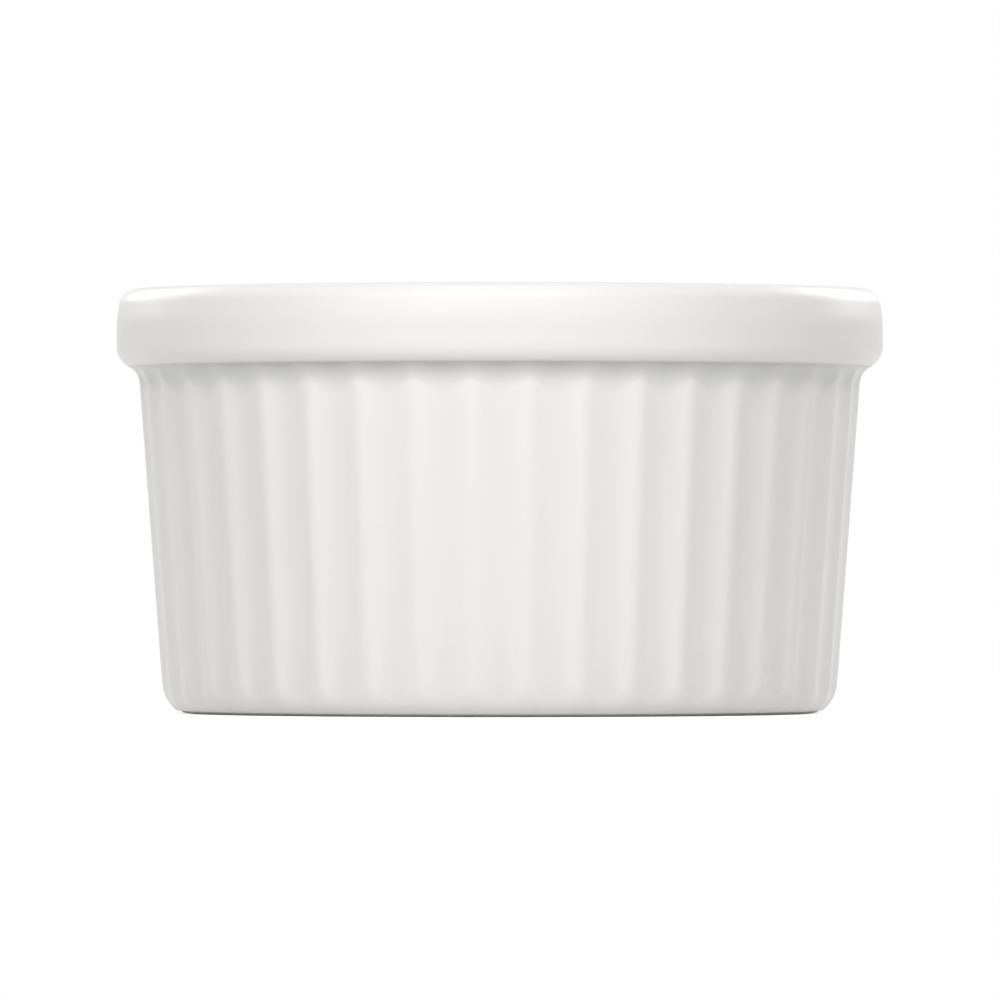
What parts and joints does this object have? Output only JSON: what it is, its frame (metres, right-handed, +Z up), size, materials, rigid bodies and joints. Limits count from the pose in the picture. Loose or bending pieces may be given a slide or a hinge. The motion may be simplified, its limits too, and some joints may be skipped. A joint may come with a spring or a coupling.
{
  "type": "ramekin",
  "caption": "Small round baking dish of white glazed porcelain with a fluted upright wall, a plain rounded rim band, a deep open inside and a bare foot ring under a shallow recess.",
  "frame": {"origin": "centre of the foot ring, on the plane that the dish stands on", "axes": "+Z up along the axis of the dish, out of its mouth; -Y towards the viewer in the picture"},
  "size_m": [0.09, 0.09, 0.0498],
  "materials": {
    "bare_porcelain": "unglazed, fine and matt",
    "white_glaze": "glossy transparent glaze over white porcelain",
    "base_white_glaze": "glossy transparent glaze over white porcelain"
  },
  "bodies": {
    "root": {"porcelain_body": "bare_porcelain", "glaze_coat": "white_glaze", "base_glaze": "base_white_glaze"}
  },
  "joints": []
}
